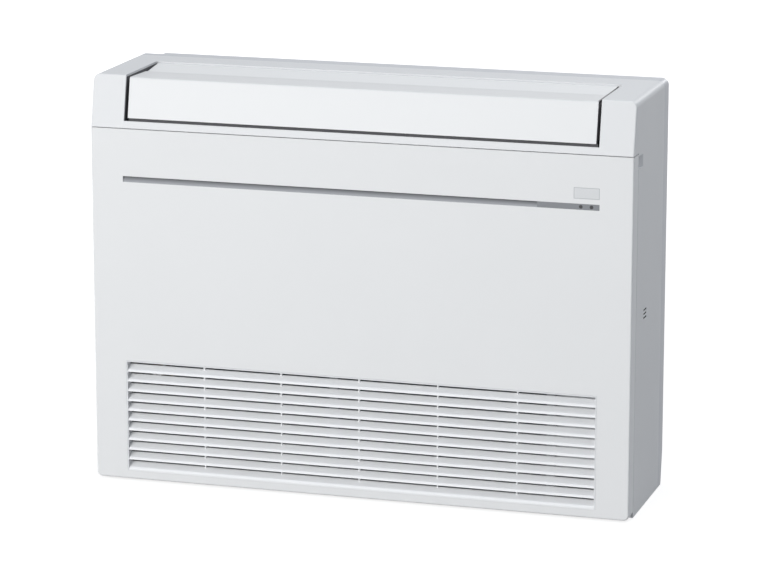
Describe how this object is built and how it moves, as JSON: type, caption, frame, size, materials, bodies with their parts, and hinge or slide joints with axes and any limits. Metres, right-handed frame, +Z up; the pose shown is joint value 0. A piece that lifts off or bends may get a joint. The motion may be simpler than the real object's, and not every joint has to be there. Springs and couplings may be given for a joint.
{
  "type": "floor console air conditioner",
  "caption": "Slim floor console air conditioner indoor unit with a tilting front panel, slatted intake grille, swinging air vanes on top, cross-flow fan and slanted coil inside.",
  "frame": {"origin": "middle of the footprint on the floor", "axes": "+X to the viewer's right along the front, the front faces -Y and the wall side +Y, +Z up"},
  "size_m": [0.8, 0.215, 0.6],
  "materials": {
    "shell_white": "fine textured white moulding",
    "base_grey": "plain pale grey moulding",
    "panel_white": "fine textured white moulding",
    "grille_white": "satin white moulding",
    "vane_white": "satin white moulding",
    "strip_grey": "smoked grey, smooth",
    "trim_grey": "smooth mid grey moulding",
    "window_grey": "pale grey, smooth",
    "lens_dark": "dark smoked lens",
    "galvanised": "galvanised sheet steel",
    "inner_grey": "plain grey moulding",
    "nozzle_black": "matt black moulding",
    "fan_grey": "dark grey glass-filled moulding",
    "rubber": "bearing holder",
    "motor_black": "moulded motor body",
    "steel": "zinc plated",
    "fins": "pressed aluminium fins",
    "copper": "drawn copper tube",
    "brass": "turned brass",
    "pan_white": "plain white moulding",
    "filter_grey": "moulded frame and net",
    "board_green": "circuit board",
    "terminal_black": "moulded terminal block",
    "button_white": "smooth"
  },
  "bodies": {
    "cabinet": {"casing": "shell_white", "rear_base": "base_grey", "base_pan": "galvanised", "coil_plate_left": "galvanised", "coil_plate_right": "galvanised", "control_box": "galvanised", "motor_bracket": "galvanised", "hinge_brackets": "inner_grey", "panel_catches": "inner_grey", "filter_rail_left": "inner_grey", "filter_rail_middle": "inner_grey", "filter_rail_right": "inner_grey", "display_bracket": "inner_grey", "room_sensor": "inner_grey", "fan_housing": "nozzle_black", "fan_end_wall": "nozzle_black", "outlet_side_right": "nozzle_black", "stabiliser": "nozzle_black", "fan_bearing": "rubber", "fan_motor": "motor_black", "vane_motor_front": "motor_black", "vane_motor_upper": "motor_black", "casing_screws": "steel", "fin_pack": "fins", "coil_bends": "copper", "gas_pipe": "copper", "liquid_pipe": "copper", "flare_nuts": "brass", "drain_pan": "pan_white", "control_cover": "pan_white", "control_board": "board_green", "display_board": "board_green", "terminal_block": "terminal_black"},
    "front_panel": {"front_panel": "panel_white", "intake_grille": "grille_white", "groove_trim": "trim_grey", "indicator_strip": "strip_grey", "led_lenses": "lens_dark", "receiver_window": "window_grey"},
    "front_vane": {"front_vane": "vane_white"},
    "upper_vane": {"upper_vane": "vane_white"},
    "fan": {"cross_flow_fan": "fan_grey"},
    "deflector_link": {"deflector_link": "nozzle_black"},
    "filter_left": {"filter_left": "filter_grey"},
    "filter_right": {"filter_right": "filter_grey"},
    "emergency_button": {"emergency_button": "button_white"},
    "deflector_1": {"deflector_1": "nozzle_black"},
    "deflector_2": {"deflector_2": "nozzle_black"},
    "deflector_3": {"deflector_3": "nozzle_black"},
    "deflector_4": {"deflector_4": "nozzle_black"},
    "deflector_5": {"deflector_5": "nozzle_black"},
    "deflector_6": {"deflector_6": "nozzle_black"}
  },
  "joints": [
    {"name": "panel_tilt", "type": "hinge", "parent": "cabinet", "child": "front_panel", "pos_m": [0, -0.0985, 0.012], "axis": [1, 0, 0], "range_deg": [0, 30]},
    {"name": "front_vane_swing", "type": "hinge", "parent": "cabinet", "child": "front_vane", "pos_m": [0, -0.027, 0.589], "axis": [-1, 0, 0], "range_deg": [0, 55]},
    {"name": "upper_vane_swing", "type": "hinge", "parent": "cabinet", "child": "upper_vane", "pos_m": [0, 0.02471, 0.5915], "axis": [-1, 0, 0], "range_deg": [0, 70]},
    {"name": "fan_spin", "type": "hinge", "parent": "cabinet", "child": "fan", "pos_m": [0, 0.014, 0.432], "axis": [1, 0, 0], "continuous": true},
    {"name": "deflector_1_swing", "type": "hinge", "parent": "cabinet", "child": "deflector_1", "pos_m": [-0.29167, -0.05577, 0.48324], "axis": [0, 0.9135, 0.4067], "range_deg": [-26, 26]},
    {"name": "deflector_2_swing", "type": "hinge", "parent": "cabinet", "child": "deflector_2", "pos_m": [-0.175, -0.05577, 0.48324], "axis": [0, 0.9135, 0.4067], "range_deg": [-26, 26]},
    {"name": "deflector_3_swing", "type": "hinge", "parent": "cabinet", "child": "deflector_3", "pos_m": [-0.05833, -0.05577, 0.48324], "axis": [0, 0.9135, 0.4067], "range_deg": [-26, 26]},
    {"name": "deflector_4_swing", "type": "hinge", "parent": "cabinet", "child": "deflector_4", "pos_m": [0.05833, -0.05577, 0.48324], "axis": [0, 0.9135, 0.4067], "range_deg": [-26, 26]},
    {"name": "deflector_5_swing", "type": "hinge", "parent": "cabinet", "child": "deflector_5", "pos_m": [0.175, -0.05577, 0.48324], "axis": [0, 0.9135, 0.4067], "range_deg": [-26, 26]},
    {"name": "deflector_6_swing", "type": "hinge", "parent": "cabinet", "child": "deflector_6", "pos_m": [0.29167, -0.05577, 0.48324], "axis": [0, 0.9135, 0.4067], "range_deg": [-26, 26]},
    {"name": "link_slide", "type": "slide", "parent": "cabinet", "child": "deflector_link", "axis": [1, 0, 0], "range_m": [-0.0085, 0.0085]},
    {"name": "filter_left_slide", "type": "slide", "parent": "cabinet", "child": "filter_left", "axis": [0, 0, 1], "range_m": [0, 0.12]},
    {"name": "filter_right_slide", "type": "slide", "parent": "cabinet", "child": "filter_right", "axis": [0, 0, 1], "range_m": [0, 0.12]},
    {"name": "button_press", "type": "slide", "parent": "cabinet", "child": "emergency_button", "axis": [0, 1, 0], "range_m": [0, 0.002], "stiffness_N_per_m": 400}
  ],
  "couplings": [
    {"joint": "deflector_1_swing", "follows": "link_slide", "rad_per_m": 50.76},
    {"joint": "deflector_2_swing", "follows": "link_slide", "rad_per_m": 50.76},
    {"joint": "deflector_3_swing", "follows": "link_slide", "rad_per_m": 50.76},
    {"joint": "deflector_4_swing", "follows": "link_slide", "rad_per_m": 50.76},
    {"joint": "deflector_5_swing", "follows": "link_slide", "rad_per_m": 50.76},
    {"joint": "deflector_6_swing", "follows": "link_slide", "rad_per_m": 50.76}
  ]
}
